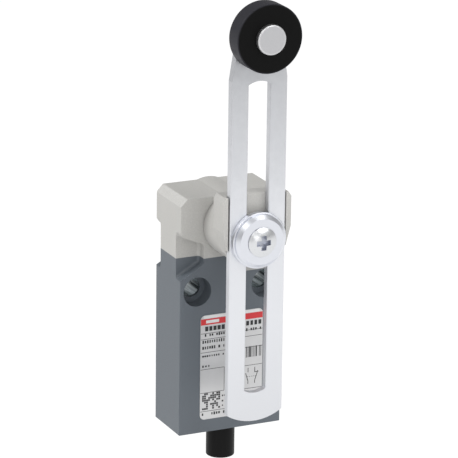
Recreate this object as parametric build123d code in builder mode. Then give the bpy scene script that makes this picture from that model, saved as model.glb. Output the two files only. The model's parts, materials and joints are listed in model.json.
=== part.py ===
# Compact pre-wired limit switch with an adjustable roller lever.
# Frame: the origin lies midway between the two mounting holes, on the face that goes against the wall.
# +X is right, +Y goes into the wall, +Z is up. A "reach" is a distance in front of the wall face, so Y = -reach.
from build123d import *
from math import cos, radians, sin, sqrt
import os

os.makedirs("parts", exist_ok=True)

# ---- body and head ----
body_width = 30.0
body_depth = 16.0
body_below_holes = 40.2
body_above_holes = 9.1
head_height = 17.0
edge_round = 0.3
soft_edge = 0.3
head_bevel_across = 1.8
head_bevel_down = 1.9
boss_radius = 8.5
pivot_above_seam = 9.0

# ---- mounting holes ----
hole_pitch = 20.0
hole_radius = 2.15
sleeve_wall = 0.45
counterbore_radius = 4.05
counterbore_depth = 4.3

# ---- corner recesses across the seam ----
recess_inner_x = 8.2
recess_depth = 3.0
recess_rise = 9.1
recess_shoulder = 6.5
recess_shoulder_inset = 0.8
recess_inner_rise = 4.0
recess_inner_drop = 1.6
recess_drop = 5.7
recess_round = 1.3
recess_floor_round = 0.9

# ---- switch chamber in the body ----
side_wall = 2.4
face_wall = 1.6
chamber_corner = 1.5
chamber_roof_below_holes = 6.0
plunger_bore_radius = 3.4
plate_thickness = 2.0
plate_gap = 0.1

# ---- shaft, cam and their chamber ----
shaft_radius = 3.0
shaft_front_reach = 27.0
journal_radius = 2.0
running_gap = 0.05
cam_radius = 5.0
cam_flat = 3.6
cam_rear_reach = 5.0
cam_front_reach = 11.0
cam_chamber_radius = 6.6
cam_chamber_reach = 13.2
cover_radius = 7.3
cover_thickness = 1.6
cover_boss_radius = 3.7
cover_boss_reach = 3.4
seal_wire = 0.62
seal_groove_rear = 14.0
seal_groove_front = 15.3
clip_reach = 4.2
clip_thickness = 0.6
clip_outer_radius = 4.4
clip_inner_radius = 2.5
clip_mouth = 3.6
torsion_wire = 0.22
torsion_pitch = 0.55
torsion_turns = 3.0
torsion_gap = 0.9

# ---- head screws and gasket ----
head_screw_x = 5.9
head_screw_radius = 1.1
head_screw_pilot_depth = 4.0
head_screw_head_radius = 2.0
head_screw_head_height = 1.4
gasket_size = 8.4
gasket_thickness = 1.0

# ---- plunger and contact block ----
plunger_radius = 1.5
plunger_travel = 1.4
plunger_gap = 0.1
guide_height = 9.6
contact_side_gap = 2.1
contact_height = 18.0
contact_front_gap = 0.8
contact_wall = 1.2
contact_below_roof = 2.0
cover_plate = 1.0
carrier_width = 5.0
carrier_depth = 6.6
carrier_height = 10.7
bridge_length = 15.4
bridge_width = 4.8
strip = 0.4
bridge_drop = 8.0
button_radius = 0.9
button_x = 6.6
contact_gap = 0.05
blade_width = 2.4
blade_offset = 1.4
blade_inner_x = 5.4
tag_length = 3.0
spring_wire = 0.2

# ---- cable ----
cable_behind_front = 6.0
cable_radius = 3.9
cable_squeeze = 0.4
cable_edge = 0.2
cable_length = 9.3
cable_inside = 6.0
core_radius = 0.75
core_circle = 2.1
core_count = 5
core_set_back = 0.15
crimp_wall = 0.8
crimp_length = 3.6
earth_tag_width = 4.0
earth_tag_height = 8.0
earth_screw_radius = 1.2

# ---- hub ----
hub_gap = 0.3
ear_rear_reach = 25.2
ear_front_reach = 31.2
ear_outer_x = 9.8
ear_height = 11.9
ear_bevel_across = 0.85
ear_bevel_down = 1.2
ear_shoulder = 2.6
ear_foot = 4.6
ear_foot_inset = 1.95
ear_foot_rear = 2.8
foot_width = 9.0
foot_drop = 9.0

# ---- lever ----
lever_reach = 29.5
lever_thickness = 2.0
lever_width = 15.9
lever_side_gap = 0.4
lever_slot_width = 6.16
lever_slot_half = 42.7
lever_slot_end_radius = 6.0
lever_below_pivot = 50.7
lever_bottom_radius = 14.5
lever_shoulder = 43.2
lever_top_radius = 6.0
lever_edge = 0.2

# ---- clamp ----
clamp_rear_radius = 7.65
clamp_front_radius = 7.15
clamp_rear_thickness = 1.5
clamp_front_thickness = 1.45
clamp_bevel = 0.95
clamp_groove = 0.2
key_clearance = 0.08
key_length = 6.4
screw_radius = 2.0
screw_length = 14.0
screw_head_radius = 4.0
screw_head_sink = 0.15
screw_rim = 0.35
screw_dome = 1.1
recess_span = 4.0
recess_arm = 1.45
recess_cut = 1.6

# ---- roller ----
roller_above_pivot = 55.1
roller_radius = 9.15
roller_width = 5.25
roller_edge = 0.15
spacer_radius = 3.8
spacer_thickness = 0.4
axle_radius = 2.5
axle_head_radius = 4.0
axle_head_height = 1.35
axle_tenon_radius = 2.0
rivet_radius = 3.4
rivet_height = 1.0

# ---- label ----
label_width = 18.4
label_height = 29.6
label_above_bottom = 3.7
label_shift = 0.2
label_corner = 1.4
label_thickness = 0.12

# ---- worked out from the above ----
mid_reach = body_depth / 2
cable_reach = body_depth - cable_behind_front
held_radius = cable_radius - cable_squeeze
body_bottom = -body_below_holes
body_height = body_below_holes + body_above_holes
seam = body_above_holes
head_top = seam + head_height
pivot = seam + pivot_above_seam
chamber_width = body_width - 2 * side_wall
chamber_depth = body_depth - 2 * face_wall
chamber_roof = -chamber_roof_below_holes
sleeve_radius = hole_radius + sleeve_wall
sleeve_length = body_depth - counterbore_depth
contact_width = chamber_width - 2 * contact_side_gap
contact_reach = body_depth - face_wall - contact_front_gap - cover_plate
contact_roof = chamber_roof - contact_below_roof
contact_floor = contact_roof - contact_height
blade_outer_x = contact_width / 2 - contact_wall
carrier_top = contact_roof - contact_wall - 0.6
carrier_bottom = carrier_top - carrier_height
bridge_z = contact_roof - bridge_drop
earth_z = contact_floor - 0.9 - earth_tag_height / 2
earth_screw_z = earth_z + earth_tag_height / 4
plunger_top = pivot - cam_radius - plunger_gap
lever_front = lever_reach + lever_thickness
clamp_middle = lever_front + clamp_rear_thickness
clamp_front = clamp_middle + clamp_front_thickness
roller_rear = lever_front + spacer_thickness + running_gap
roller_front = roller_rear + roller_width
axle_shoulder = roller_front + running_gap
pivot_line = Axis((0, 0, pivot), (0, 1, 0))


# A plane parallel to the wall: local x is X, local y is Z and its normal points to the front.
def facing(reach, height=0.0):
    return Plane(origin=(0, -reach, height), x_dir=(1, 0, 0), z_dir=(0, -1, 0))


# A level plane at mid-depth of the body, its normal up.
def level(height):
    return Plane.XY.offset(height)


def write(piece, name):
    piece.label = name
    export_step(piece, f"parts/{name}.step")


# ================= body =================

# The four corner recesses run across the seam, two in front and two behind.
with BuildPart() as corner_recesses:
    for start, amount in ((body_depth, -recess_depth), (0.0, recess_depth)):
        with BuildSketch(facing(start, seam)):
            with BuildLine():
                Polyline(
                    (body_width / 2 + 1, recess_rise),
                    (body_width / 2 - recess_shoulder_inset, recess_shoulder),
                    (recess_inner_x, recess_inner_rise),
                    (recess_inner_x, -recess_inner_drop),
                    (body_width / 2 + 1, -recess_drop - 0.5),
                    close=True,
                )
            make_face()
            fillet(vertices().group_by(Axis.X)[0], recess_round)
            mirror(about=Plane.YZ)
        extrude(amount=amount)
    for floor_reach in (body_depth - recess_depth, recess_depth):
        floor_edges = edges().filter_by_position(Axis.Y, -floor_reach - 0.01, -floor_reach + 0.01)
        fillet(floor_edges, recess_floor_round)

with BuildPart() as housing:
    with BuildSketch(level(body_bottom)):
        with Locations((0, -mid_reach)):
            Rectangle(body_width, body_depth)
    extrude(amount=body_height)
    fillet(edges().filter_by(Axis.Z), edge_round)
    fillet(faces().sort_by(Axis.Z)[0].edges(), edge_round / 2)
    with BuildSketch(level(body_bottom)):
        with Locations((0, -mid_reach)):
            RectangleRounded(chamber_width, chamber_depth, chamber_corner)
    extrude(amount=chamber_roof - body_bottom, mode=Mode.SUBTRACT)
    with Locations((0, -mid_reach, seam)):
        Hole(plunger_bore_radius, depth=seam - chamber_roof)
    with Locations(facing(body_depth)):
        with GridLocations(hole_pitch, 1, 2, 1):
            CounterBoreHole(sleeve_radius, counterbore_radius, counterbore_depth)
    with Locations((-head_screw_x, -mid_reach, seam), (head_screw_x, -mid_reach, seam)):
        Hole(head_screw_radius, depth=seam - chamber_roof)
    with Locations(facing(face_wall, earth_screw_z)):
        Hole(earth_screw_radius, depth=face_wall / 2)
    add(corner_recesses.part, mode=Mode.SUBTRACT)
write(housing.part, "housing")

with BuildPart() as mounting_sleeves:
    with BuildSketch(facing(0)):
        with GridLocations(hole_pitch, 1, 2, 1):
            Circle(sleeve_radius)
            Circle(hole_radius, mode=Mode.SUBTRACT)
    extrude(amount=sleeve_length)
write(mounting_sleeves.part, "mounting_sleeves")

with BuildPart() as label:
    with BuildSketch(facing(body_depth)):
        with Locations((label_shift, body_bottom + label_above_bottom + label_height / 2)):
            RectangleRounded(label_width, label_height, label_corner)
    extrude(amount=label_thickness)
write(label.part, "label")

with BuildPart() as bottom_plate:
    with BuildSketch(level(body_bottom)):
        with Locations((0, -mid_reach)):
            plate_width = chamber_width - 2 * plate_gap
            RectangleRounded(plate_width, chamber_depth - 2 * plate_gap, chamber_corner - plate_gap)
        with Locations((0, -cable_reach)):
            Circle(held_radius, mode=Mode.SUBTRACT)
    extrude(amount=plate_thickness)
write(bottom_plate.part, "bottom_plate")

# ================= head =================

with BuildPart() as head:
    with BuildSketch(facing(0)):
        with BuildLine():
            Polyline(
                (-body_width / 2, seam),
                (body_width / 2, seam),
                (body_width / 2, head_top - head_bevel_down),
                (body_width / 2 - head_bevel_across, head_top),
                (-body_width / 2 + head_bevel_across, head_top),
                (-body_width / 2, head_top - head_bevel_down),
                close=True,
            )
        make_face()
    extrude(amount=body_depth)
    fillet(edges().filter_by(Axis.Z), edge_round)
    fillet(edges().filter_by_position(Axis.Z, seam + 0.1, head_top + 0.1), soft_edge)
    with BuildSketch(facing(0, pivot)):
        Circle(boss_radius)
    extrude(amount=body_depth)
    # the cam chamber is open at the back, where the rear cover closes it
    with BuildSketch(facing(0, pivot)):
        Circle(cam_chamber_radius)
    extrude(amount=cam_chamber_reach, mode=Mode.SUBTRACT)
    with BuildSketch(facing(0, pivot)):
        Circle(cover_radius)
    extrude(amount=cover_thickness, mode=Mode.SUBTRACT)
    with BuildSketch(facing(cam_chamber_reach, pivot)):
        Circle(shaft_radius + running_gap)
    extrude(amount=body_depth, mode=Mode.SUBTRACT)
    with BuildSketch(facing(seal_groove_rear, pivot)):
        Circle(shaft_radius + 2 * seal_wire + running_gap)
    extrude(amount=seal_groove_front - seal_groove_rear, mode=Mode.SUBTRACT)
    # way down to the plunger, gasket pocket and screw pilots, all from the seam
    with BuildSketch(level(seam)):
        with Locations((0, -mid_reach)):
            Circle(plunger_bore_radius)
    extrude(amount=pivot_above_seam, mode=Mode.SUBTRACT)
    with BuildSketch(level(seam)):
        with Locations((0, -mid_reach)):
            Rectangle(gasket_size, gasket_size)
    extrude(amount=gasket_thickness, mode=Mode.SUBTRACT)
    with BuildSketch(level(seam)):
        with Locations((-head_screw_x, -mid_reach), (head_screw_x, -mid_reach)):
            Circle(head_screw_radius)
    extrude(amount=head_screw_pilot_depth, mode=Mode.SUBTRACT)
    add(corner_recesses.part, mode=Mode.SUBTRACT)
write(head.part, "head")

with BuildPart() as head_rear_cover:
    with BuildSketch(facing(0, pivot)):
        Circle(cover_radius)
    extrude(amount=cover_thickness)
    with BuildSketch(facing(cover_thickness, pivot)):
        Circle(cover_boss_radius)
    extrude(amount=cover_boss_reach - cover_thickness)
    with BuildSketch(facing(cover_thickness, pivot)):
        Circle(journal_radius + running_gap)
    extrude(amount=cover_boss_reach - cover_thickness, mode=Mode.SUBTRACT)
write(head_rear_cover.part, "head_rear_cover")

with BuildPart() as head_gasket:
    with BuildSketch(level(seam)):
        with Locations((0, -mid_reach)):
            Rectangle(gasket_size, gasket_size)
            Circle(plunger_radius + running_gap, mode=Mode.SUBTRACT)
    extrude(amount=gasket_thickness)
write(head_gasket.part, "head_gasket")

with BuildPart() as head_screws:
    with BuildSketch(level(chamber_roof)):
        with Locations((-head_screw_x, -mid_reach), (head_screw_x, -mid_reach)):
            Circle(head_screw_radius)
    extrude(amount=seam + head_screw_pilot_depth - chamber_roof)
    with BuildSketch(level(chamber_roof)):
        with Locations((-head_screw_x, -mid_reach), (head_screw_x, -mid_reach)):
            Circle(head_screw_head_radius)
    extrude(amount=-head_screw_head_height)
    fillet(faces().sort_by(Axis.Z)[0:2].edges(), 0.4)
write(head_screws.part, "head_screws")

# ================= shaft and cam =================

with BuildPart() as shaft:
    journal_rear = cover_thickness + 2 * running_gap
    with BuildSketch(facing(journal_rear, pivot)):
        Circle(journal_radius)
    extrude(amount=cover_boss_reach + running_gap - journal_rear)
    with BuildSketch(facing(cover_boss_reach + running_gap, pivot)):
        Circle(shaft_radius)
    extrude(amount=shaft_front_reach - cover_boss_reach - running_gap)
    with BuildSketch(facing(clip_reach, pivot)):
        Circle(shaft_radius + 1)
        Circle(clip_inner_radius, mode=Mode.SUBTRACT)
    extrude(amount=clip_thickness, mode=Mode.SUBTRACT)
    with Locations(facing(shaft_front_reach, pivot)):
        Hole(screw_radius, depth=shaft_front_reach - clamp_front + screw_head_sink + screw_length)
    chamfer(faces().sort_by(Axis.Y)[-1].edges(), 0.3)
write(shaft.part, "shaft")

with BuildPart() as retaining_clip:
    with BuildSketch(facing(clip_reach, pivot)):
        Circle(clip_outer_radius)
        Circle(clip_inner_radius, mode=Mode.SUBTRACT)
        with Locations((0, clip_outer_radius)):
            Rectangle(clip_mouth, 2 * clip_outer_radius, mode=Mode.SUBTRACT)
    extrude(amount=clip_thickness)
write(retaining_clip.part, "retaining_clip")

with BuildPart() as shaft_seal:
    seal_middle = (seal_groove_rear + seal_groove_front) / 2
    with BuildSketch(Plane.YZ):
        with Locations((-seal_middle, pivot + shaft_radius + running_gap / 2 + seal_wire)):
            Circle(seal_wire)
    revolve(axis=pivot_line)
write(shaft_seal.part, "shaft_seal")

with BuildPart() as cam:
    with BuildSketch(facing(cam_rear_reach, pivot)):
        Circle(cam_radius)
        with Locations((0, -cam_flat - cam_radius)):
            Rectangle(2 * cam_radius, 2 * cam_radius, mode=Mode.SUBTRACT)
        Circle(shaft_radius, mode=Mode.SUBTRACT)
    extrude(amount=cam_front_reach - cam_rear_reach)
write(cam.part, "cam")

# The torsion spring is coiled loosely round the shaft, between the cam and the front wall of the head.
with BuildPart() as return_spring:
    coil_radius = shaft_radius + torsion_gap
    coil_centre = (0, -cam_front_reach - torsion_wire - running_gap, pivot)
    with BuildLine() as torsion_path:
        Helix(torsion_pitch, torsion_pitch * torsion_turns, coil_radius, coil_centre, (0, -1, 0))
    with BuildSketch(torsion_path.line ^ 0):
        Circle(torsion_wire)
    sweep(path=torsion_path.line, is_frenet=True)
write(return_spring.part, "return_spring")

# ================= plunger and contact block =================

with BuildPart() as plunger:
    with BuildSketch(level(carrier_top)):
        with Locations((0, -mid_reach)):
            Circle(plunger_radius)
    extrude(amount=plunger_top - carrier_top)
    fillet(faces().sort_by(Axis.Z)[-1].edges(), plunger_radius / 2)
write(plunger.part, "plunger")

with BuildPart() as plunger_guide:
    with BuildSketch(level(seam)):
        with Locations((0, -mid_reach)):
            Circle(plunger_bore_radius)
            Circle(plunger_radius + running_gap, mode=Mode.SUBTRACT)
    extrude(amount=-guide_height)
write(plunger_guide.part, "plunger_guide")

with BuildPart() as contact_base:
    with BuildSketch(facing(face_wall, (contact_roof + contact_floor) / 2)):
        Rectangle(contact_width, contact_height)
    extrude(amount=contact_reach - face_wall)
    with BuildSketch(facing(contact_reach, (contact_roof + contact_floor) / 2)):
        Rectangle(contact_width - 2 * contact_wall, contact_height - 2 * contact_wall)
    extrude(amount=-(contact_reach - face_wall - contact_wall), mode=Mode.SUBTRACT)
    with Locations((0, -mid_reach, contact_roof)):
        Hole(plunger_radius + running_gap, depth=contact_wall + 0.1)
    # slots in the floor for the four contact legs
    with BuildSketch(level(contact_floor)):
        for side in (-1, 1):
            for offset_y in (-blade_offset, blade_offset):
                with Locations((side * (blade_outer_x - strip / 2), -mid_reach + offset_y)):
                    Rectangle(strip, blade_width)
    extrude(amount=contact_wall, mode=Mode.SUBTRACT)
write(contact_base.part, "contact_base")

with BuildPart() as contact_cover:
    with BuildSketch(facing(contact_reach, (contact_roof + contact_floor) / 2)):
        RectangleRounded(contact_width, contact_height, 0.6)
    extrude(amount=cover_plate)
write(contact_cover.part, "contact_cover")

with BuildPart() as contact_carrier:
    with BuildSketch(level(carrier_bottom)):
        with Locations((0, -mid_reach)):
            Rectangle(carrier_width, carrier_depth)
    extrude(amount=carrier_height)
    # window for the bridge, with room above it for its spring
    with BuildSketch(Plane.YZ.offset(-carrier_width)):
        with Locations((-mid_reach, bridge_z - strip / 2 + 1.6)):
            Rectangle(bridge_width + 2 * running_gap, 3.2)
    extrude(amount=2 * carrier_width, mode=Mode.SUBTRACT)
write(contact_carrier.part, "contact_carrier")

with BuildPart() as moving_bridge:
    with BuildSketch(level(bridge_z - strip / 2)):
        with Locations((0, -mid_reach)):
            Rectangle(bridge_length, bridge_width)
    extrude(amount=strip)
    with BuildSketch(level(bridge_z + strip / 2)):
        with Locations((-button_x, -mid_reach - blade_offset), (button_x, -mid_reach - blade_offset)):
            Circle(button_radius)
    extrude(amount=strip)
    with BuildSketch(level(bridge_z - strip / 2)):
        with Locations((-button_x, -mid_reach + blade_offset), (button_x, -mid_reach + blade_offset)):
            Circle(button_radius)
    extrude(amount=-strip)
write(moving_bridge.part, "moving_bridge")


# Two fixed contacts: blade, contact button and a leg that goes down through the floor of the base.
def fixed_contacts(name, blade_bottom, button_up, offset_y):
    with BuildPart() as contacts:
        with BuildSketch(Plane.XZ.offset(mid_reach - offset_y - blade_width / 2)):
            for side in (-1, 1):
                with Locations((side * (blade_inner_x + blade_outer_x) / 2, blade_bottom + strip / 2)):
                    Rectangle(blade_outer_x - blade_inner_x, strip)
                leg_bottom = contact_floor - tag_length
                leg_middle = (blade_bottom + strip + leg_bottom) / 2
                with Locations((side * (blade_outer_x - strip / 2), leg_middle)):
                    Rectangle(strip, blade_bottom + strip - leg_bottom)
        extrude(amount=blade_width)
        button_face = blade_bottom + strip if button_up else blade_bottom
        with BuildSketch(level(button_face)):
            with Locations((-button_x, -mid_reach + offset_y), (button_x, -mid_reach + offset_y)):
                Circle(button_radius)
        extrude(amount=strip if button_up else -strip)
    write(contacts.part, name)


nc_blade = bridge_z + 1.5 * strip + contact_gap + strip
no_blade = bridge_z - 1.5 * strip - plunger_travel - 2 * contact_gap - 2 * strip
fixed_contacts("nc_contacts", nc_blade, False, -blade_offset)
fixed_contacts("no_contacts", no_blade, True, blade_offset)


# Compression springs on the line of the plunger.
def coil_spring(name, bottom, top, radius, turns):
    height = top - bottom - 2 * spring_wire
    with BuildPart() as spring:
        with BuildLine(Plane(origin=(0, -mid_reach, bottom + spring_wire))) as path:
            Helix(height / turns, height, radius)
        with BuildSketch(path.line ^ 0):
            Circle(spring_wire)
        sweep(path=path.line, is_frenet=True)
    write(spring.part, name)


coil_spring("bridge_spring", bridge_z + strip / 2 + contact_gap, bridge_z - strip / 2 + 3.15, 1.2, 3)
coil_spring("carrier_spring", contact_floor + contact_wall, carrier_bottom, 1.8, 4)

# ================= cable and earth =================

with BuildPart() as cable_sheath:
    for start_z, radius, length in (
        (body_bottom - cable_length, cable_radius, cable_length),
        (body_bottom, held_radius, cable_inside),
    ):
        with BuildSketch(level(start_z)):
            with Locations((0, -cable_reach)):
                Circle(radius)
        extrude(amount=length)
    fillet(faces().sort_by(Axis.Z)[0].edges(), cable_edge)
    with BuildSketch(level(body_bottom - cable_length)):
        with Locations((0, -cable_reach)):
            with PolarLocations(core_circle, core_count, start_angle=18):
                Circle(core_radius)
    extrude(amount=cable_length + cable_inside, mode=Mode.SUBTRACT)
write(cable_sheath.part, "cable_sheath")

with BuildPart() as cable_crimp:
    with BuildSketch(level(body_bottom + plate_thickness)):
        with Locations((0, -cable_reach)):
            Circle(held_radius + crimp_wall)
            Circle(held_radius, mode=Mode.SUBTRACT)
        # flat where the ring meets the front wall of the chamber
        with Locations((0, -body_depth)):
            Rectangle(chamber_width, 2 * (face_wall + plate_gap), mode=Mode.SUBTRACT)
    extrude(amount=crimp_length)
write(cable_crimp.part, "cable_crimp")

# Each core runs straight in the sheath, then bends to its contact leg or to the earth tag.
core_bottom = body_bottom - cable_length + core_set_back
core_bend = body_bottom + cable_inside + 1.0
leg_x = blade_outer_x - strip - core_radius
leg_top = contact_floor - tag_length / 3
leg_y_front = -mid_reach - blade_offset
leg_y_rear = -mid_reach + blade_offset
core_ends = (
    (leg_x, leg_y_rear, leg_top),
    (0.0, -face_wall - strip - core_radius, earth_z - 0.3),
    (-leg_x, leg_y_rear, leg_top),
    (-leg_x, leg_y_front, leg_top),
    (leg_x, leg_y_front, leg_top),
)
with BuildPart() as cable_cores:
    for number, (end_x, end_y, end_z) in enumerate(core_ends):
        angle = radians(18 + number * 360 / core_count)
        start_x = core_circle * cos(angle)
        start_y = -cable_reach + core_circle * sin(angle)
        with BuildLine() as core_path:
            FilletPolyline(
                (start_x, start_y, core_bottom),
                (start_x, start_y, core_bend),
                (end_x, end_y, end_z - 2.2),
                (end_x, end_y, end_z),
                radius=1.0,
            )
        with BuildSketch(level(core_bottom)):
            with Locations((start_x, start_y)):
                Circle(core_radius)
        sweep(path=core_path.line)
write(cable_cores.part, "cable_cores")

with BuildPart() as earth_tag:
    with BuildSketch(facing(face_wall, earth_z)):
        RectangleRounded(earth_tag_width, earth_tag_height, 0.8)
        with Locations((0, earth_tag_height / 4)):
            Circle(earth_screw_radius, mode=Mode.SUBTRACT)
    extrude(amount=strip)
write(earth_tag.part, "earth_tag")

with BuildPart() as earth_screw:
    with BuildSketch(facing(face_wall / 2, earth_screw_z)):
        Circle(earth_screw_radius)
    extrude(amount=face_wall / 2 + strip)
    with BuildSketch(facing(face_wall + strip, earth_screw_z)):
        Circle(1.6 * earth_screw_radius)
    extrude(amount=earth_screw_radius)
write(earth_screw.part, "earth_screw")

# ================= hub =================

with BuildPart() as lever_hub:
    # the two ears and the plate between them
    with BuildSketch(facing(ear_rear_reach, pivot)):
        with BuildLine():
            Polyline(
                (0, -ear_foot),
                (ear_outer_x - ear_foot_inset, -ear_foot),
                (ear_outer_x, ear_shoulder),
                (ear_outer_x, ear_height - ear_bevel_down),
                (ear_outer_x - ear_bevel_across, ear_height),
                (0, ear_height),
                close=True,
            )
        make_face()
        mirror(about=Plane.YZ)
    extrude(amount=ear_front_reach - ear_rear_reach)
    channel_width = lever_width + 2 * lever_side_gap
    with BuildSketch(facing(lever_reach, pivot)):
        Rectangle(channel_width, 3 * ear_height)
    extrude(amount=ear_front_reach - lever_reach, mode=Mode.SUBTRACT)
    # the underside of the ears slopes down towards the front
    with BuildSketch(Plane.YZ.offset(-ear_outer_x - 1)):
        with BuildLine():
            Polyline(
                (-ear_rear_reach, pivot - ear_foot_rear),
                (-ear_front_reach, pivot - ear_foot),
                (-ear_front_reach, pivot - 2 * ear_foot),
                (-ear_rear_reach, pivot - 2 * ear_foot),
                close=True,
            )
        make_face()
    extrude(amount=2 * ear_outer_x + 2, mode=Mode.SUBTRACT)
    with BuildSketch(facing(ear_rear_reach, pivot)):
        Rectangle(foot_width, foot_drop, align=(Align.CENTER, Align.MAX))
    extrude(amount=lever_reach - ear_rear_reach)
    with BuildSketch(facing(body_depth + hub_gap, pivot)):
        Circle(boss_radius)
    extrude(amount=lever_reach - body_depth - hub_gap)
    with BuildSketch(facing(body_depth + hub_gap, pivot)):
        Circle(shaft_radius)
    extrude(amount=shaft_front_reach - body_depth - hub_gap, mode=Mode.SUBTRACT)
    with BuildSketch(facing(shaft_front_reach, pivot)):
        Circle(screw_radius + running_gap)
    extrude(amount=lever_reach - shaft_front_reach, mode=Mode.SUBTRACT)
write(lever_hub.part, "lever_hub")

# ================= lever =================

with BuildPart() as lever:
    bottom_sagitta = lever_bottom_radius - sqrt(lever_bottom_radius**2 - (lever_width / 2) ** 2)
    bottom_corner = bottom_sagitta - lever_below_pivot
    slot_sagitta = lever_slot_end_radius - sqrt(lever_slot_end_radius**2 - (lever_slot_width / 2) ** 2)
    slot_corner = lever_slot_half - slot_sagitta
    with BuildSketch(facing(lever_reach + running_gap, pivot)):
        with BuildLine():
            ThreePointArc(
                (-lever_width / 2, bottom_corner), (0, -lever_below_pivot), (lever_width / 2, bottom_corner)
            )
            Line((-lever_width / 2, lever_shoulder), (lever_width / 2, lever_shoulder))
            CenterArc((0, roller_above_pivot), lever_top_radius, 0, 360)
        make_hull()
    extrude(amount=lever_thickness - running_gap)
    chamfer(faces().sort_by(Axis.Y)[0].edges(), lever_edge)
    with BuildSketch(facing(lever_reach, pivot)):
        with BuildLine():
            Line((-lever_slot_width / 2, -slot_corner), (-lever_slot_width / 2, slot_corner))
            ThreePointArc(
                (-lever_slot_width / 2, slot_corner), (0, lever_slot_half), (lever_slot_width / 2, slot_corner)
            )
            Line((lever_slot_width / 2, slot_corner), (lever_slot_width / 2, -slot_corner))
            ThreePointArc(
                (lever_slot_width / 2, -slot_corner), (0, -lever_slot_half), (-lever_slot_width / 2, -slot_corner)
            )
        make_face()
        with Locations((0, roller_above_pivot)):
            Circle(axle_tenon_radius)
    extrude(amount=lever_thickness, mode=Mode.SUBTRACT)
    chamfer(faces().sort_by(Axis.Y)[0].inner_wires().edges().filter_by(GeomType.LINE), lever_edge)
write(lever.part, "lever")

# ================= clamp =================

with BuildPart() as clamp_disc_rear:
    with BuildSketch(facing(lever_front + running_gap, pivot)):
        Circle(clamp_rear_radius)
    extrude(amount=clamp_rear_thickness - running_gap)
    fillet(edges().filter_by(GeomType.CIRCLE), clamp_groove)
    # key that rides in the slot of the lever
    with BuildSketch(facing(lever_reach, pivot)):
        Rectangle(lever_slot_width - 2 * key_clearance, key_length)
    extrude(amount=lever_thickness + running_gap)
    with BuildSketch(facing(lever_reach, pivot)):
        Circle(screw_radius + running_gap)
    extrude(amount=clamp_middle - lever_reach, mode=Mode.SUBTRACT)
write(clamp_disc_rear.part, "clamp_disc_rear")

with BuildPart() as clamp_disc_front:
    with BuildSketch(facing(clamp_middle, pivot)):
        Circle(clamp_front_radius)
    extrude(amount=clamp_front_thickness)
    chamfer(faces().sort_by(Axis.Y)[0].edges(), clamp_bevel)
    fillet(faces().sort_by(Axis.Y)[-1].edges(), clamp_groove)
    with Locations(facing(clamp_front, pivot)):
        CounterBoreHole(screw_radius + running_gap, screw_head_radius + 2 * running_gap, screw_head_sink)
write(clamp_disc_front.part, "clamp_disc_front")

with BuildPart() as clamp_screw:
    seat = clamp_front - screw_head_sink
    with BuildSketch(Plane.YZ):
        with BuildLine():
            rim = (-seat - screw_rim, pivot + screw_head_radius)
            crown = (-seat - screw_rim - screw_dome, pivot)
            dome_radius = (screw_head_radius**2 + screw_dome**2) / (2 * screw_dome)
            Line((-seat, pivot), (-seat, pivot + screw_head_radius))
            Line((-seat, pivot + screw_head_radius), rim)
            RadiusArc(rim, crown, -dome_radius)
            Line(crown, (-seat, pivot))
        make_face()
    revolve(axis=pivot_line)
    with BuildSketch(facing(seat - screw_length, pivot)):
        Circle(screw_radius)
    extrude(amount=screw_length)
    with BuildSketch(facing(seat + screw_rim + screw_dome, pivot)):
        Rectangle(recess_span, recess_arm)
        Rectangle(recess_arm, recess_span)
    extrude(amount=-recess_cut, mode=Mode.SUBTRACT)
write(clamp_screw.part, "clamp_screw")

# ================= roller =================

roller_axis = pivot + roller_above_pivot

with BuildPart() as roller:
    with BuildSketch(facing(roller_rear, roller_axis)):
        Circle(roller_radius)
        Circle(axle_radius + running_gap, mode=Mode.SUBTRACT)
    extrude(amount=roller_width)
    fillet(edges().filter_by(GeomType.CIRCLE).group_by(SortBy.RADIUS)[-1], roller_edge)
write(roller.part, "roller")

with BuildPart() as roller_spacer:
    with BuildSketch(facing(lever_front, roller_axis)):
        Circle(spacer_radius)
        Circle(axle_radius, mode=Mode.SUBTRACT)
    extrude(amount=spacer_thickness)
write(roller_spacer.part, "roller_spacer")

with BuildPart() as roller_axle:
    with BuildSketch(facing(lever_front, roller_axis)):
        Circle(axle_radius)
    extrude(amount=axle_shoulder - lever_front)
    with BuildSketch(facing(axle_shoulder, roller_axis)):
        Circle(axle_head_radius)
    extrude(amount=axle_head_height)
    fillet(faces().sort_by(Axis.Y)[0].edges(), 0.4)
    with BuildSketch(facing(lever_reach + running_gap, roller_axis)):
        Circle(axle_tenon_radius)
    extrude(amount=lever_thickness - running_gap)
    with BuildSketch(facing(lever_reach + running_gap, roller_axis)):
        Circle(rivet_radius)
    extrude(amount=-rivet_height)
    fillet(faces().sort_by(Axis.Y)[-1].edges(), 0.6)
write(roller_axle.part, "roller_axle")
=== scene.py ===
import json
import math

import bmesh
import bpy
from mathutils import Matrix, Vector

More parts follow.
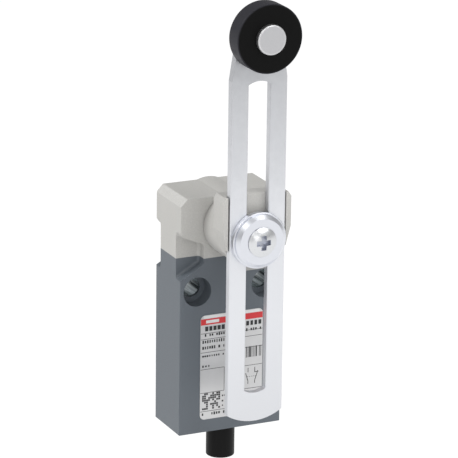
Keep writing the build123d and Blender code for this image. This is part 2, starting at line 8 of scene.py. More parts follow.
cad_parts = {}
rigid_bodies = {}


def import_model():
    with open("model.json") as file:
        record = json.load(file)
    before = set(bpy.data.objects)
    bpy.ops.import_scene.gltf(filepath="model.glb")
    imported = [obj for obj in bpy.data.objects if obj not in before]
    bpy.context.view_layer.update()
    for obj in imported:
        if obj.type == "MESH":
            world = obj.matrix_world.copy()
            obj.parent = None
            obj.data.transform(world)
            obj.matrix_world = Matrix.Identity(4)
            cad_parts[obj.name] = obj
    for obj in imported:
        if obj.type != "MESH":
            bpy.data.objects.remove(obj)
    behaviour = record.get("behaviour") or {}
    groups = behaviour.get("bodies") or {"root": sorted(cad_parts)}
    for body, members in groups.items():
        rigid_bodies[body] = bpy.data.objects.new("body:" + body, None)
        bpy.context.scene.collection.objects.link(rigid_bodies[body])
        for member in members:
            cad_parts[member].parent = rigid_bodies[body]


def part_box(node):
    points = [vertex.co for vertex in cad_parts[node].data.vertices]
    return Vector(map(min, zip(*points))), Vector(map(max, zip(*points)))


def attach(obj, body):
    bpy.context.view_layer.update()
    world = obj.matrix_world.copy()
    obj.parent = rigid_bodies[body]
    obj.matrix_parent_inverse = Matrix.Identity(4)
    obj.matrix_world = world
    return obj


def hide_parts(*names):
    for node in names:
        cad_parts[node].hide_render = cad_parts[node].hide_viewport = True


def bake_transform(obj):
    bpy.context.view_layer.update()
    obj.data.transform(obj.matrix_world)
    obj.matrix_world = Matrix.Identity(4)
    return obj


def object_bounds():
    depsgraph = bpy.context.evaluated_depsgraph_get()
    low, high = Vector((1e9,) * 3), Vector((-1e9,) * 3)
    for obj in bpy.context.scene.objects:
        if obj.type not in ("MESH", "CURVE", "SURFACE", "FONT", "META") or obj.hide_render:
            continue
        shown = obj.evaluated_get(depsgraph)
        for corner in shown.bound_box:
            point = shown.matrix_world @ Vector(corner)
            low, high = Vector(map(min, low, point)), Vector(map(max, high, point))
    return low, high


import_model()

scene = bpy.context.scene
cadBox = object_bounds()
mm = 0.001


# a shader socket that takes part in Python expressions
class Val:
    def __init__(self, mat, socket):
        self.mat = mat
        self.socket = socket

    def math(self, operation, *others, **settings):
        return self.mat.node("ShaderNodeMath", {"operation": operation, **settings}, [self, *others])

    def __add__(self, other):
        return self.math("ADD", other)

    def __radd__(self, other):
        return self.math("ADD", other)

    def __sub__(self, other):
        return self.math("SUBTRACT", other)

    def __rsub__(self, other):
        return self.mat.node("ShaderNodeMath", {"operation": "SUBTRACT"}, [other, self])

    def __mul__(self, other):
        return self.math("MULTIPLY", other)

    def __rmul__(self, other):
        return self.math("MULTIPLY", other)

    def __gt__(self, other):
        return self.math("GREATER_THAN", other)

    def __lt__(self, other):
        return self.math("LESS_THAN", other)

    def clamp(self):
        return self.math("ADD", 0.0, use_clamp=True)


class Finish:
    def __init__(self, name, **sockets):
        self.material = bpy.data.materials.new(name)
        self.material.use_nodes = True
        self.tree = self.material.node_tree
        self.shader = self.tree.nodes["Principled BSDF"]
        for socket, value in sockets.items():
            self.shader.inputs[socket.replace("_", " ")].default_value = value
        self.place = self.node("ShaderNodeTexCoord", {}, {}, "Object")

    # any node: its settings first, then the values or links of its sockets, by place or by name
    def node(self, kind, settings=None, inputs=None, output=0):
        made = self.tree.nodes.new(kind)
        for key, value in (settings or {}).items():
            if key == "interpolation":
                made.color_ramp.interpolation = value
            elif key == "stops":
                ramp = made.color_ramp
                for index, (position, color) in enumerate(value):
                    stop = ramp.elements[index] if index < 2 else ramp.elements.new(position)
                    stop.position = position
                    stop.color = color
            else:
                setattr(made, key, value)
        pairs = inputs.items() if isinstance(inputs, dict) else enumerate(inputs or [])
        for key, value in pairs:
            if isinstance(value, Val):
                self.tree.links.new(value.socket, made.inputs[key])
            elif value is not None:
                made.inputs[key].default_value = value
        return Val(self, made.outputs[output])

    def noise(self, scale, detail=2.0, rough=0.5, stretch=None):
        vector = self.place
        if stretch:
            vector = self.node("ShaderNodeMapping", {}, {"Vector": self.place, "Scale": stretch})
        values = {"Vector": vector, "Scale": scale, "Detail": detail, "Roughness": rough}
        return self.node("ShaderNodeTexNoise", {}, values, "Fac")

    def ramp(self, value, *stops, blend="LINEAR"):
        return self.node("ShaderNodeValToRGB", {"interpolation": blend, "stops": stops}, [value], "Color")

    def vector(self, operation, first, second, output=0):
        return self.node("ShaderNodeVectorMath", {"operation": operation}, [first, second], output)

    # one coordinate of the place on the piece: 0 for X, 1 for Y, 2 for Z
    def along(self, axis):
        return self.node("ShaderNodeSeparateXYZ", {}, [self.place], axis)

    # distance from an axis parallel to Y
    def radius(self, x, z):
        flat = self.vector("MULTIPLY", self.vector("SUBTRACT", self.place, (x, 0, z)), (1, 0, 1))
        return self.vector("LENGTH", flat, None, "Value")

    # fine turned rings about an axis parallel to Y
    def rings(self, x, z, scale):
        line = self.node("ShaderNodeCombineXYZ", {}, [self.radius(x, z)])
        return self.node("ShaderNodeTexNoise", {}, {"Vector": line, "Scale": scale, "Detail": 3.0}, "Fac")

    def spread(self, value, low, high, outLow, outHigh):
        values = {"Value": value, "From Min": low, "From Max": high, "To Min": outLow, "To Max": outHigh}
        return self.node("ShaderNodeMapRange", {}, values)

    def mix(self, factor, first, second):
        return self.node("ShaderNodeMix", {"data_type": "RGBA"}, {0: factor, 6: first, 7: second}, 2)

    def feed(self, socket, value):
        self.tree.links.new(value.socket, self.shader.inputs[socket])

    def bump(self, height, strength, distance):
        values = {"Strength": strength, "Distance": distance, "Height": height}
        self.feed("Normal", self.node("ShaderNodeBump", {}, values, "Normal"))


def shade(level):
    return (level, level, level, 1.0)


def tint(red, green, blue):
    return (red, green, blue, 1.0)


def wear(nodeName, finish):
    slots = bpy.data.objects[nodeName].data.materials
    slots.clear()
    slots.append(finish.material)


pivotZ = 0.0181  # height of the shaft
rollerZ = 0.0732  # height of the roller's axle
cableY = -0.010  # depth of the cable's middle

# grey-blue enamel with a faint orange peel
housingLook = {
    "color": tint(0.108, 0.125, 0.144), "dark": tint(0.098, 0.114, 0.132), "peel": 1100.0, "grain": 3600.0,
    "patches": 90.0, "bump": 0.22, "height": 0.00005}


def makeHousingPaint():
    paint = Finish("bodyPaint")
    cloud = paint.noise(housingLook["patches"], 3.0)
    grain = paint.noise(housingLook["grain"], 2.0, 0.6)
    peel = paint.noise(housingLook["peel"], 2.0, 0.5)
    shade = (cloud * 0.7 + grain * 0.3).clamp()
    paint.feed("Base Color", paint.mix(shade, housingLook["dark"], housingLook["color"]))
    paint.feed("Roughness", paint.spread(grain, 0.3, 0.7, 0.40, 0.54))
    paint.bump(grain * 0.4 + peel * 0.6, housingLook["bump"], housingLook["height"])
    return paint


# warm grey moulded plastic, grained like a sparked mould
headLook = {
    "color": tint(0.508, 0.501, 0.480), "dark": tint(0.428, 0.422, 0.404), "bevelHighlight": tint(0.60, 0.594, 0.575),
    "grain": 3400.0, "patches": 110.0, "gloss": 0.4, "bump": 0.4, "height": 0.00006,
    "bevelX": 0.0132, "top": 0.0261, "across": 0.726, "up": 0.688, "skin": 0.00012, "above": 0.00002}


def makeHeadPlastic():
    plastic = Finish("headPlastic")
    plastic.shader.inputs["Specular IOR Level"].default_value = headLook["gloss"]
    cloud = plastic.noise(headLook["patches"], 2.0)
    grain = plastic.noise(headLook["grain"], 2.0, 0.75)
    speck = plastic.spread(grain, 0.40, 0.62, 0.0, 1.0)
    base = plastic.mix((speck * 0.55 + cloud * 0.45).clamp(), headLook["dark"], headLook["color"])
    # painted highlight: the bevels along the top are coloured a shade lighter, standing in for the light that
    # falls on them
    across, up = headLook["across"], headLook["up"]
    lean = plastic.along(0).math("ABSOLUTE") * across + plastic.along(2) * up
    line = headLook["bevelX"] * across + headLook["top"] * up
    bevelHighlightMask = (lean > line - headLook["skin"]) * (plastic.along(2) < headLook["top"] + headLook["above"])
    plastic.feed("Base Color", plastic.mix(bevelHighlightMask * (0.35 + speck * 0.5), base, headLook["bevelHighlight"]))
    plastic.feed("Roughness", plastic.spread(grain, 0.3, 0.7, 0.46, 0.66))
    plastic.bump(grain, headLook["bump"], headLook["height"])
    return plastic


# prints and the pieces inside: one colour, a little uneven
plainLook = {"patches": 200.0, "deep": 0.86, "spread": 0.06, "bump": 0.1, "height": 0.00003}


def makePlain(name, color, rough, metal=0.0, grain=1500.0):
    plain = Finish(name, Metallic=metal)
    speck = plain.noise(grain, 2.0, 0.6)
    cloud = plain.noise(plainLook["patches"], 2.0)
    deep = tint(*(plainLook["deep"] * part for part in color[:3]))
    spread = plainLook["spread"]
    plain.feed("Base Color", plain.mix(cloud, color, deep))
    plain.feed("Roughness", plain.spread(speck, 0.3, 0.7, rough - spread, rough + spread))
    plain.bump(speck, plainLook["bump"], plainLook["height"])
    return plain


# satin zinc with the soft mottling of the plating; a painted shade gradient makes it a little darker towards
# the roller end
leverLook = {
    "foot": -0.034, "tip": 0.070, "paintedShades": (0.70, 0.76, 0.745, 0.655, 0.565, 0.48),
    "heights": (0.0, 0.28, 0.57, 0.68, 0.85, 1.0), "green": 1.016, "blue": 1.055,
    "patches": 420.0, "grain": 2600.0, "uneven": 0.10, "bump": 0.16, "height": 0.00004}


def makeLeverZinc():
    zinc = Finish("leverZinc", Metallic=1.0)
    cloud = zinc.noise(leverLook["patches"], 3.0, 0.6)
    speck = zinc.noise(leverLook["grain"], 2.0, 0.6)
    # painted shade: the colour darkens with height towards the roller end
    paintedShadeRamp = zinc.spread(zinc.along(2), leverLook["foot"], leverLook["tip"], 0.0, 1.0)
    paintedShadeRamp = paintedShadeRamp + (cloud - 0.5) * leverLook["uneven"]
    stops = [
        (height, tint(level, level * leverLook["green"], level * leverLook["blue"]))
        for height, level in zip(leverLook["heights"], leverLook["paintedShades"])]
    zinc.feed("Base Color", zinc.ramp(paintedShadeRamp, *stops))
    zinc.feed("Roughness", zinc.spread(cloud * 0.5 + speck * 0.5, 0.3, 0.7, 0.40, 0.52))
    zinc.bump(cloud * 0.5 + speck * 0.5, leverLook["bump"], leverLook["height"])
    return zinc


# turned and plated discs
clampLook = {
    "color": tint(0.745, 0.763, 0.81), "dark": tint(0.675, 0.69, 0.735), "rings": 5200.0, "patches": 500.0,
    "bump": 0.10, "height": 0.00003}


def makeClampSteel():
    steel = Finish("clampSteel", Metallic=1.0)
    cloud = steel.noise(clampLook["patches"], 3.0, 0.6)
    turned = steel.rings(0.0, pivotZ, clampLook["rings"])
    shade = (cloud * 0.7 + turned * 0.3).clamp()
    steel.feed("Base Color", steel.mix(shade, clampLook["dark"], clampLook["color"]))
    steel.feed("Roughness", steel.spread(cloud, 0.3, 0.7, 0.28, 0.36))
    steel.bump(turned * 0.6 + cloud * 0.4, clampLook["bump"], clampLook["height"])
    return steel


# bright screw; whatever lies under the ball of the dome is in the cross recess, which gets a painted shade,
# darker than the dome
screwLook = {
    "color": tint(0.69, 0.70, 0.715), "recessShade": tint(0.50, 0.52, 0.58), "headRadius": 0.004, "dome": 0.0011,
    "skin": 0.00012, "grain": 1800.0, "bump": 0.05, "height": 0.00002}


def makeScrewSteel():
    steel = Finish("screwSteel", Metallic=1.0)
    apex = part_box("clamp_screw")[0][1]
    ball = (screwLook["headRadius"] ** 2 + screwLook["dome"] ** 2) / (2 * screwLook["dome"])
    depth = steel.vector("DISTANCE", steel.place, (0.0, apex + ball, pivotZ), "Value")
    # painted shade: the cross recess is coloured darker than the dome
    recessShadeMask = depth < ball - screwLook["skin"]
    speck = steel.noise(screwLook["grain"], 2.0)
    steel.feed("Base Color", steel.mix(recessShadeMask, screwLook["color"], screwLook["recessShade"]))
    steel.feed("Roughness", steel.spread(speck, 0.3, 0.7, 0.27, 0.33) + recessShadeMask * 0.15)
    steel.bump(speck, screwLook["bump"], screwLook["height"])
    return steel


# black nylon; the rim carries a painted sheen, a little lighter than the faces
rollerLook = {
    "face": tint(0.0006, 0.0006, 0.0006), "rim": tint(0.024, 0.024, 0.030), "rimFrom": 0.00875,
    "rimTo": 0.00905, "gloss": 0.12, "patches": 700.0, "drawnOut": (1.0, 0.15, 1.0), "rings": 4200.0,
    "bump": 0.12, "height": 0.00003}


def makeRollerNylon():
    nylon = Finish("rollerNylon")
    nylon.shader.inputs["Specular IOR Level"].default_value = rollerLook["gloss"]
    away = nylon.radius(0.0, rollerZ)
    # painted sheen: the rim is coloured lighter than the faces
    sheenRimMask = nylon.spread(away, rollerLook["rimFrom"], rollerLook["rimTo"], 0.0, 1.0)
    cloud = nylon.noise(rollerLook["patches"], 3.0, 0.6, rollerLook["drawnOut"])
    turned = nylon.rings(0.0, rollerZ, rollerLook["rings"])
    paintedSheen = (sheenRimMask * (0.6 + cloud * 0.7)).clamp()
    nylon.feed("Base Color", nylon.mix(paintedSheen, rollerLook["face"], rollerLook["rim"]))
    nylon.feed("Roughness", nylon.spread(cloud, 0.3, 0.7, 0.42, 0.56))
    nylon.bump(turned * 0.7 + cloud * 0.3, rollerLook["bump"], rollerLook["height"])
    return nylon


# pressed head of the axle, with a painted highlight that colours its bevel brighter
rivetLook = {
    "face": tint(0.52, 0.52, 0.532), "bevelHighlight": tint(0.62, 0.62, 0.63), "bevelFrom": 0.0034, "bevelTo": 0.0037,
    "patches": 900.0, "bump": 0.12, "height": 0.00003}


def makeRivetSteel():
    steel = Finish("rivetSteel", Metallic=1.0)
    away = steel.radius(0.0, rollerZ)
    # painted highlight: the ring of the bevel is mixed towards the brighter colour
    bevelHighlightMask = steel.spread(away, rivetLook["bevelFrom"], rivetLook["bevelTo"], 0.0, 1.0)
    cloud = steel.noise(rivetLook["patches"], 3.0, 0.6)
    bright = (bevelHighlightMask + (cloud - 0.5) * 0.2).clamp()
    steel.feed("Base Color", steel.mix(bright, rivetLook["face"], rivetLook["bevelHighlight"]))
    steel.feed("Roughness", steel.spread(cloud, 0.3, 0.7, 0.36, 0.48))
    steel.bump(cloud, rivetLook["bump"], rivetLook["height"])
    return steel


# drawn tube with streaks along the holes, dull on its front end
sleeveLook = {
    "color": tint(0.66, 0.70, 0.72), "dark": tint(0.08, 0.10, 0.105), "end": -0.01165, "streaks": 900.0,
    "drawnOut": (1.0, 0.02, 1.0), "bump": 0.2, "height": 0.00004}


def makeSleeveSteel():
    steel = Finish("sleeveSteel", Metallic=1.0)
    streak = steel.noise(sleeveLook["streaks"], 2.0, 0.6, sleeveLook["drawnOut"])
    bore = steel.along(1) > sleeveLook["end"]
    bright = steel.spread(streak, 0.42, 0.58, 0.0, 1.0) * bore
    steel.feed("Base Color", steel.mix(bright, sleeveLook["dark"], sleeveLook["color"]))
    steel.feed("Roughness", steel.spread(streak, 0.3, 0.7, 0.22, 0.34))
    steel.bump(streak, sleeveLook["bump"], sleeveLook["height"])
    return steel


# extruded jacket: faint draw lines along the cable
cableLook = {
    "jacket": tint(0.0014, 0.0014, 0.0015), "light": tint(0.0055, 0.0055, 0.0058), "gloss": 0.13,
    "streaks": 1500.0,
    "drawnOut": (1.0, 1.0, 0.05), "grain": 3000.0, "bump": 0.12, "height": 0.00004}


def makeCableJacket():
    jacket = Finish("cableJacket")
    jacket.shader.inputs["Specular IOR Level"].default_value = cableLook["gloss"]
    drawn = jacket.noise(cableLook["streaks"], 2.0, 0.6, cableLook["drawnOut"])
    speck = jacket.noise(cableLook["grain"], 2.0, 0.6)
    jacket.feed("Base Color", jacket.mix(drawn, cableLook["jacket"], cableLook["light"]))
    jacket.feed("Roughness", jacket.spread(speck, 0.3, 0.7, 0.36, 0.48))
    jacket.bump(drawn * 0.6 + speck * 0.4, cableLook["bump"], cableLook["height"])
    return jacket


# the cores: brown, black, grey and blue, by their place round the cable
coreLook = {
    "brown": tint(0.10, 0.045, 0.02), "black": tint(0.015, 0.015, 0.015), "grey": tint(0.28, 0.28, 0.28),
    "blue": tint(0.02, 0.10, 0.36), "grain": 2500.0}


def makeCoreSheath():
    sheath = Finish("coreSheath")
    right = sheath.along(0)
    back = sheath.along(1) - cableY
    turn = sheath.spread(back.math("ARCTAN2", right), -math.pi, math.pi, 0.0, 1.0)
    color = sheath.ramp(
        turn, (0.0, coreLook["brown"]), (0.25, coreLook["black"]), (0.45, coreLook["grey"]),
        (0.65, coreLook["blue"]), (0.85, coreLook["brown"]), blend="CONSTANT")
    speck = sheath.noise(coreLook["grain"], 2.0)
    sheath.feed("Base Color", color)
    sheath.feed("Roughness", sheath.spread(speck, 0.3, 0.7, 0.38, 0.5))
    return sheath


# silvered film under the print
filmLook = {
    "color": tint(0.64, 0.64, 0.645), "dark": tint(0.55, 0.55, 0.555), "metal": 0.55, "patches": 160.0,
    "grain": 3200.0, "bump": 0.05, "height": 0.00002}


def makeLabelFilm():
    film = Finish("labelFilm", Metallic=filmLook["metal"])
    cloud = film.noise(filmLook["patches"], 2.0)
    speck = film.noise(filmLook["grain"], 2.0)
    film.feed("Base Color", film.mix(cloud, filmLook["color"], filmLook["dark"]))
    film.feed("Roughness", film.spread(speck, 0.3, 0.7, 0.34, 0.42))
    film.bump(speck, filmLook["bump"], filmLook["height"])
    return film


housingPaint = makeHousingPaint()
headPlastic = makeHeadPlastic()
leverZinc = makeLeverZinc()
clampSteel = makeClampSteel()
screwSteel = makeScrewSteel()
rollerNylon = makeRollerNylon()
rivetSteel = makeRivetSteel()
sleeveSteel = makeSleeveSteel()
cableJacket = makeCableJacket()
coreSheath = makeCoreSheath()
labelFilm = makeLabelFilm()
innerSteel = makePlain("innerSteel", tint(0.62, 0.62, 0.64), 0.25, 1.0)
springSteel = makePlain("springSteel", tint(0.55, 0.55, 0.56), 0.3, 1.0, 2500.0)
brass = makePlain("contactBrass", tint(0.72, 0.52, 0.24), 0.3, 1.0)
copper = makePlain("coreCopper", tint(0.78, 0.40, 0.24), 0.3, 1.0, 4000.0)
whiteInner = makePlain("innerWhite", tint(0.7, 0.7, 0.66), 0.5)
blackInner = makePlain("innerBlack", tint(0.03, 0.03, 0.032), 0.5)
sealRubber = makePlain("sealRubber", tint(0.02, 0.02, 0.02), 0.6)
printBlack = makePlain("printBlack", tint(0.02, 0.02, 0.022), 0.45)
printRed = makePlain("printRed", tint(0.62, 0.030, 0.036), 0.42)
printWhite = makePlain("printWhite", tint(0.74, 0.74, 0.74), 0.42)

wearList = {
    "housing": housingPaint, "head": headPlastic, "head_rear_cover": headPlastic, "lever_hub": headPlastic,
    "lever": leverZinc, "clamp_disc_rear": clampSteel, "clamp_disc_front": clampSteel,
    "clamp_screw": screwSteel,
    "roller": rollerNylon, "roller_axle": rivetSteel, "roller_spacer": rivetSteel,
    "mounting_sleeves": sleeveSteel,
    "label": labelFilm, "bottom_plate": blackInner, "cable_sheath": cableJacket, "cable_cores": coreSheath,
    "cable_crimp": innerSteel, "head_gasket": sealRubber, "shaft_seal": sealRubber, "head_screws": innerSteel,
    "return_spring": springSteel, "carrier_spring": springSteel, "bridge_spring": springSteel,
    "shaft": innerSteel,
    "retaining_clip": springSteel, "cam": whiteInner, "plunger": innerSteel, "plunger_guide": whiteInner,
    "contact_base": blackInner, "contact_cover": whiteInner, "contact_carrier": whiteInner,
    "moving_bridge": brass,
    "nc_contacts": brass, "no_contacts": brass, "earth_tag": brass, "earth_screw": innerSteel,
}
for nodeName, finish in wearList.items():
    wear(nodeName, finish)
print("finishes done")


# a Geometry Nodes tree with named inputs
class Graph:
    def __init__(self, name, inputs):
        self.group = bpy.data.node_groups.new(name, "GeometryNodeTree")
        self.ids = {}
        for label, kind in [("Geometry", "NodeSocketGeometry"), *inputs]:
            socket = self.group.interface.new_socket(label, in_out="INPUT", socket_type=kind)
            self.ids[label] = socket.identifier
        self.group.interface.new_socket("Geometry", in_out="OUTPUT", socket_type="NodeSocketGeometry")
        self.enter = self.group.nodes.new("NodeGroupInput").outputs
        self.leave = self.group.nodes.new("NodeGroupOutput").inputs

    # adds a node and gives its output; a value that is an output is linked, any other is set
    def node(self, kind, settings, inputs, output=0):
        made = self.group.nodes.new(kind)
        for key, value in settings.items():
            setattr(made, key, value)
        for key, value in inputs.items():
            if isinstance(value, bpy.types.NodeSocket):
                self.group.links.new(value, made.inputs[key])
            else:
                made.inputs[key].default_value = value
        return made.outputs[output]

    # runs the tree on a mesh with the given inputs and leaves one plain mesh object
    def run(self, name, mesh, values):
        source = bpy.data.objects.new(name + "Guide", mesh)
        scene.collection.objects.link(source)
        modifier = source.modifiers.new("tree", "NODES")
        modifier.node_group = self.group
        for label, value in values.items():
            modifier[self.ids[label]] = value
        seen = source.evaluated_get(bpy.context.evaluated_depsgraph_get())
        made = bpy.data.objects.new(name, bpy.data.meshes.new_from_object(seen))
        scene.collection.objects.link(made)
        source.modifiers.clear()
        bpy.data.objects.remove(source)
        return made


# label print: heights in mm above the label's lower edge, x in mm from the middle of the body
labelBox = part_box("label")
printLook = {
    "lift": 0.000012, "line": 0.13, "stroke": 0.2, "heightSeed": 7,
    "dashes": 5, "dash": 0.35, "dashPitch": 0.62}


def makeBlockRows():
    numbers = [
        (label, "NodeSocketFloat") for label in ("Pitch", "Narrow", "Wide", "Short", "Gaps", "Thickness")]
    graph = Graph("blockRows", [*numbers, ("Seed", "NodeSocketInt"), ("Ink", "NodeSocketMaterial")])
    enter = graph.enter
    curve = graph.node("GeometryNodeMeshToCurve", {}, {"Mesh": enter["Geometry"]})
    places = graph.node(
        "GeometryNodeCurveToPoints", {"mode": "LENGTH"}, {"Curve": curve, "Length": enter["Pitch"]})
    gap = {"Probability": enter["Gaps"], "Seed": enter["Seed"]}
    skip = graph.node("FunctionNodeRandomValue", {"data_type": "BOOLEAN"}, gap, 3)
    kept = graph.node(
        "GeometryNodeDeleteGeometry", {"domain": "POINT"}, {"Geometry": places, "Selection": skip})
    widths = {2: enter["Narrow"], 3: enter["Wide"], "Seed": enter["Seed"]}
    wide = graph.node("FunctionNodeRandomValue", {"data_type": "FLOAT"}, widths, 1)
    heights = {2: enter["Short"], 3: 1.0, "Seed": printLook["heightSeed"]}
    tall = graph.node("FunctionNodeRandomValue", {"data_type": "FLOAT"}, heights, 1)
    letter = graph.node("GeometryNodeInputNamedAttribute", {"data_type": "FLOAT"}, {"Name": "tall"})
    across = graph.node("ShaderNodeMath", {"operation": "MULTIPLY"}, {0: wide, 1: enter["Pitch"]})
    up = graph.node("ShaderNodeMath", {"operation": "MULTIPLY"}, {0: tall, 1: letter})
    scale = graph.node("ShaderNodeCombineXYZ", {}, {0: across, 1: enter["Thickness"], 2: up})
    block = graph.node("GeometryNodeMeshCube", {}, {"Size": (1.0, 1.0, 1.0)})
    placed = graph.node(
        "GeometryNodeInstanceOnPoints", {}, {"Points": kept, "Instance": block, "Scale": scale})
    real = graph.node("GeometryNodeRealizeInstances", {}, {"Geometry": placed})
    inked = graph.node("GeometryNodeSetMaterial", {}, {"Geometry": real, "Material": enter["Ink"]})
    graph.group.links.new(inked, graph.leave["Geometry"])
    return graph


# each row: left, right, low and tall; then how its blocks are drawn
rowSets = {
    "printLargeText": {
        "rows": [(-7.2, 8.5, 25.1, 1.35)],
        "pitch": 1.15, "narrow": 0.62, "wide": 0.86, "short": 0.92, "gaps": 0.08, "seed": 3},
    "printSmallText": {
        "rows": [
            (-8.2, 8.7, 23.55, 0.85), (-8.2, 3.3, 21.65, 0.95), (-8.2, 3.3, 19.95, 0.95),
            (-8.2, 2.4, 17.75, 0.62), (-8.2, -5.6, 14.85, 0.66), (-8.2, 3.0, 1.05, 0.85),
            (-2.3, -0.9, 5.9, 0.5), (-2.3, -0.9, 4.4, 0.5), (-2.3, -0.9, 3.1, 0.5)],
        "pitch": 0.66, "narrow": 0.45, "wide": 0.80, "short": 0.70, "gaps": 0.16, "seed": 11},
    "printMatrix": {
        "rows": [(-8.1, -3.3, 2.75 + 0.6 * step, 0.52) for step in range(8)],
        "pitch": 0.6, "narrow": 0.86, "wide": 0.90, "short": 0.95, "gaps": 0.42, "seed": 5},
    "printStripes": {
        "rows": [(4.6, 8.9, 16.0, 3.1)],
        "pitch": 0.42, "narrow": 0.30, "wide": 0.85, "short": 0.98, "gaps": 0.12, "seed": 9},
}
# thin lines across: left, right, height
divisions = [
    (-8.9, 3.8, 24.5), (-8.9, 3.8, 22.85), (-8.9, 3.8, 19.1), (-8.9, -1.9, 14.3), (-8.9, -1.9, 7.6),
    (-8.9, 9.3, 2.3),
    (3.8, 9.3, 23.8), (3.8, 9.3, 22.05), (3.8, 9.3, 18.9), (3.8, 9.3, 13.7), (3.8, 9.3, 7.1)]


def rowMesh(name, rows, reach):
    mesh = bpy.data.meshes.new(name)
    ends, pairs, heights = [], [], []
    for left, right, low, tall in rows:
        middle = labelBox[0][2] + (low + tall / 2) * mm
        pairs.append((len(ends), len(ends) + 1))
        ends += [(left * mm, reach, middle), (right * mm, reach, middle)]
        heights += [tall * mm, tall * mm]
    mesh.from_pydata(ends, pairs, [])
    mesh.attributes.new("tall", "FLOAT", "POINT").data.foreach_set("value", heights)
    return mesh


def makeRows(name, look):
    values = {
        "Pitch": look["pitch"] * mm, "Narrow": look["narrow"], "Wide": look["wide"], "Short": look["short"],
        "Gaps": look["gaps"], "Thickness": 2 * printLook["lift"], "Seed": look["seed"],
        "Ink": printBlack.material}
    piece = blockRows.run(name, rowMesh(name, look["rows"], labelBox[0][1]), values)
    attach(piece, "base")


# a flat stroke on the label between two places (x, height), in mm
def addStroke(mesh, start, end, width, lift):
    first = Vector((start[0] * mm, 0.0, labelBox[0][2] + start[1] * mm))
    last = Vector((end[0] * mm, 0.0, labelBox[0][2] + end[1] * mm))
    side = (last - first).normalized().cross(Vector((0, 1, 0))) * width * mm / 2
    near, far = labelBox[0][1] - lift, labelBox[0][1] + printLook["lift"]
    ring = [first + side, first - side, last - side, last + side]
    front = [mesh.verts.new((corner.x, near, corner.z)) for corner in ring]
    rear = [mesh.verts.new((corner.x, far, corner.z)) for corner in ring]
    mesh.faces.new(front)
    mesh.faces.new(rear[::-1])
    for place in range(4):
        after = (place + 1) % 4
        mesh.faces.new((front[place], rear[place], rear[after], front[after]))


def makeStrokes(name, strokes, finish, lift=1.0):
    mesh = bmesh.new()
    for start, end, width in strokes:
        addStroke(mesh, start, end, width, lift * printLook["lift"])
    bmesh.ops.recalc_face_normals(mesh, faces=mesh.faces)
    data = bpy.data.meshes.new(name)
    mesh.to_mesh(data)
    mesh.free()
    data.materials.append(finish.material)
    piece = bpy.data.objects.new(name, data)
    scene.collection.objects.link(piece)
    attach(piece, "base")


def makeLabelPrint():
    for name, look in rowSets.items():
        makeRows(name, look)
    thin = printLook["line"]
    lines = [((left, height), (right, height), thin) for left, right, height in divisions]
    lines += [((-1.9, 7.6), (-1.9, 14.3), thin), ((3.8, 2.3), (3.8, 24.5), thin)]
    # wiring sign: a break contact and a make contact joined by a dashed link
    stroke = printLook["stroke"]
    lines += [
        ((5.2, 13.0), (5.2, 11.7), stroke), ((5.2, 8.4), (5.2, 9.2), stroke),
        ((5.2, 9.2), (4.5, 11.5), stroke), ((7.2, 13.0), (7.2, 11.6), stroke),
        ((7.1, 11.6), (8.3, 11.6), stroke), ((7.2, 8.4), (7.2, 9.2), stroke),
        ((7.2, 9.2), (8.1, 11.9), stroke)]
    starts = [4.9 + printLook["dashPitch"] * index for index in range(printLook["dashes"])]
    lines += [((start, 10.45), (start + printLook["dash"], 10.45), thin) for start in starts]
    makeStrokes("printLines", lines, printBlack)
    makeStrokes("printBand", [((-8.92, 27.75), (9.32, 27.75), 1.7)], printRed)
    makeStrokes("printEdge", [((-8.0, 29.12), (8.4, 29.12), 0.75)], printWhite)
    makeStrokes("printTitle", [((-7.4, 27.75), (-3.6, 27.75), 0.85)], printWhite, 2.0)


blockRows = makeBlockRows()
makeLabelPrint()
print("label print done")

# copper strands in the cut end of the cable, in mm and degrees
strandLook = {
    "circle": 2.1, "turn": 18.0, "cores": 5, "bundle": 0.42, "each": 19, "spin": 137.508, "radius": 0.075,
    "length": 0.12, "sides": 8}


def makeStrands():
    graph = Graph("strandEnds", [
        ("Radius", "NodeSocketFloat"), ("Length", "NodeSocketFloat"), ("Finish", "NodeSocketMaterial")])
    enter = graph.enter
    shape = {"Vertices": strandLook["sides"], "Radius": enter["Radius"], "Depth": enter["Length"]}
    strand = graph.node("GeometryNodeMeshCylinder", {}, shape)
    placed = graph.node("GeometryNodeInstanceOnPoints", {}, {"Points": enter["Geometry"], "Instance": strand})
    real = graph.node("GeometryNodeRealizeInstances", {}, {"Geometry": placed})
    done = graph.node("GeometryNodeSetMaterial", {}, {"Geometry": real, "Material": enter["Finish"]})
    graph.group.links.new(done, graph.leave["Geometry"])
    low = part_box("cable_cores")[0][2]
    places = []
    for core in range(strandLook["cores"]):
        around = math.radians(strandLook["turn"] + 360.0 * core / strandLook["cores"])
        x = strandLook["circle"] * math.cos(around)
        y = strandLook["circle"] * math.sin(around)
        for index in range(strandLook["each"]):
            out = strandLook["bundle"] * math.sqrt((index + 0.5) / strandLook["each"])
            spin = index * math.radians(strandLook["spin"])
            places.append(((x + out * math.cos(spin)) * mm, cableY + (y + out * math.sin(spin)) * mm, low))
    mesh = bpy.data.meshes.new("strandPlaces")
    mesh.from_pydata(places, [], [])
    values = {
        "Radius": strandLook["radius"] * mm, "Length": strandLook["length"] * mm, "Finish": copper.material}
    piece = graph.run("coreStrands", mesh, values)
    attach(piece, "base")


makeStrands()
print("strands done")

# spring under the contact carrier, in mm; the real one shortens as the carrier goes down, this coil keeps one
# length
coilLook = {"radius": 1.8, "wire": 0.2, "turns": 4.0, "perTurn": 28, "sides": 8}


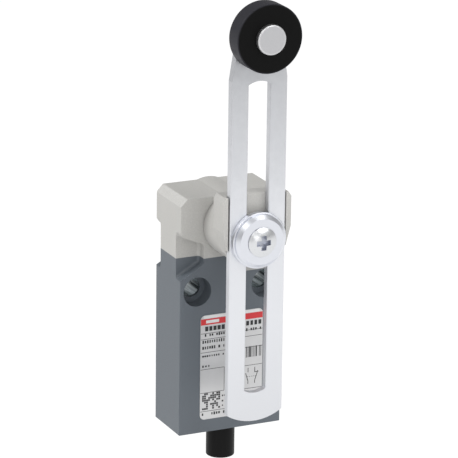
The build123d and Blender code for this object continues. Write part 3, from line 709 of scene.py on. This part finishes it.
def makeCarrierSpring():
    numbers = [(label, "NodeSocketFloat") for label in ("Radius", "Wire", "Turns", "Height")]
    counts = [("Per turn", "NodeSocketInt"), ("Sides", "NodeSocketInt")]
    graph = Graph("coil", [*numbers, *counts, ("Finish", "NodeSocketMaterial")])
    enter = graph.enter
    path = graph.node("GeometryNodeCurveSpiral", {}, {
        "Resolution": enter["Per turn"], "Rotations": enter["Turns"], "Start Radius": enter["Radius"],
        "End Radius": enter["Radius"], "Height": enter["Height"]})
    circle = {"Resolution": enter["Sides"], "Radius": enter["Wire"]}
    section = graph.node("GeometryNodeCurvePrimitiveCircle", {"mode": "RADIUS"}, circle)
    wire = graph.node(
        "GeometryNodeCurveToMesh", {}, {"Curve": path, "Profile Curve": section, "Fill Caps": True})
    placed = graph.node("GeometryNodeInstanceOnPoints", {}, {"Points": enter["Geometry"], "Instance": wire})
    real = graph.node("GeometryNodeRealizeInstances", {}, {"Geometry": placed})
    done = graph.node("GeometryNodeSetMaterial", {}, {"Geometry": real, "Material": enter["Finish"]})
    graph.group.links.new(done, graph.leave["Geometry"])
    low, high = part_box("carrier_spring")
    middle = (low[1] + high[1]) / 2
    bottom = low[2] + coilLook["wire"] * mm
    mesh = bpy.data.meshes.new("coilPlace")
    mesh.from_pydata([(0.0, middle, bottom)], [], [])
    values = {
        "Radius": coilLook["radius"] * mm, "Wire": coilLook["wire"] * mm, "Turns": coilLook["turns"],
        "Height": high[2] - bottom - coilLook["wire"] * mm,
        "Per turn": coilLook["perTurn"], "Sides": coilLook["sides"],
        "Finish": springSteel.material}
    piece = graph.run("carrierSpringCoil", mesh, values)
    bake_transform(piece)
    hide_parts("carrier_spring")


makeCarrierSpring()
print("carrier spring done")

# plain pale floor that glows a little, a soft tent of light round it, and four softboxes
studio = {
    "floorDrop": 0.10, "floorSize": 8.0, "horizon": 0.50, "zenith": 0.24, "floorShade": 0.15,
    "floorGlow": 0.90}
lamps = {
    "keyLeft": {"place": (-0.90, 0.42, 0.98), "size": 0.6, "power": 10.7},
    "sideSoft": {"place": (-0.60, -1.00, 0.85), "size": 0.8, "power": 4.4},
    "rightSoft": {"place": (0.55, -0.98, 1.05), "size": 1.0, "power": 11.8},
    "frontSpot": {"place": (-0.12, -1.40, 0.22), "size": 0.3, "power": 1.0},
}
lampAim = (0, -0.02, 0.02)
lens = {
    "turn": -25.16, "lift": 17.509, "roll": 0.728, "distance": 0.873632, "focal": 256.08, "sensor": 36.0,
    "aim": (0.002801, -0.008, 0.01368), "near": 0.05, "far": 50.0}


def makeFloor():
    low = cadBox[0][2] - studio["floorDrop"]
    bpy.ops.mesh.primitive_plane_add(size=studio["floorSize"], location=(0, 0, low))
    floor = bpy.context.object
    floor.name = "studioFloor"
    paper = Finish("floorPaper", Roughness=0.9)
    paper.shader.inputs["Base Color"].default_value = shade(studio["floorShade"])
    paper.shader.inputs["Emission Color"].default_value = shade(1.0)
    paper.shader.inputs["Emission Strength"].default_value = studio["floorGlow"]
    floor.data.materials.append(paper.material)


def makeLight(name, look):
    light = bpy.data.lights.new(name, "AREA")
    light.shape = "RECTANGLE"
    light.size = light.size_y = look["size"]
    light.energy = look["power"]
    holder = bpy.data.objects.new(name, light)
    scene.collection.objects.link(holder)
    holder.location = look["place"]
    holder.rotation_euler = (Vector(lampAim) - Vector(look["place"])).to_track_quat("-Z", "Y").to_euler()


# brighter towards the horizon than overhead
def makeWorld():
    world = bpy.data.worlds.new("studioWorld")
    world.use_nodes = True
    tree = world.node_tree
    place = tree.nodes.new("ShaderNodeTexCoord")
    split = tree.nodes.new("ShaderNodeSeparateXYZ")
    ramp = tree.nodes.new("ShaderNodeValToRGB")
    ramp.color_ramp.elements[0].color = shade(studio["horizon"])
    ramp.color_ramp.elements[1].color = shade(studio["zenith"])
    tree.links.new(place.outputs["Generated"], split.inputs[0])
    tree.links.new(split.outputs[2], ramp.inputs[0])
    tree.links.new(ramp.outputs[0], tree.nodes["Background"].inputs["Color"])
    tree.nodes["Background"].inputs["Strength"].default_value = 1.0
    scene.world = world


def makeCamera():
    aim = Vector(lens["aim"])
    turn = math.radians(lens["turn"])
    lift = math.radians(lens["lift"])
    roll = math.radians(lens["roll"])
    back = Vector((math.sin(turn) * math.cos(lift), -math.cos(turn) * math.cos(lift), math.sin(lift)))
    right = Vector((math.cos(turn), math.sin(turn), 0.0))
    up = back.cross(right)
    rolledRight = right * math.cos(roll) + up * math.sin(roll)
    rolledUp = up * math.cos(roll) - right * math.sin(roll)
    camera = bpy.data.cameras.new("camera")
    camera.sensor_width = lens["sensor"]
    camera.lens = lens["focal"]
    camera.clip_start = lens["near"]
    camera.clip_end = lens["far"]
    holder = bpy.data.objects.new("camera", camera)
    scene.collection.objects.link(holder)
    pose = Matrix((rolledRight, rolledUp, back)).transposed().to_4x4()
    pose.translation = aim + back * lens["distance"]
    holder.matrix_world = pose
    scene.camera = holder


makeFloor()
makeWorld()
for name, look in lamps.items():
    makeLight(name, look)
makeCamera()
scene.view_settings.view_transform = "Standard"
scene.view_settings.look = "None"
print("studio done")
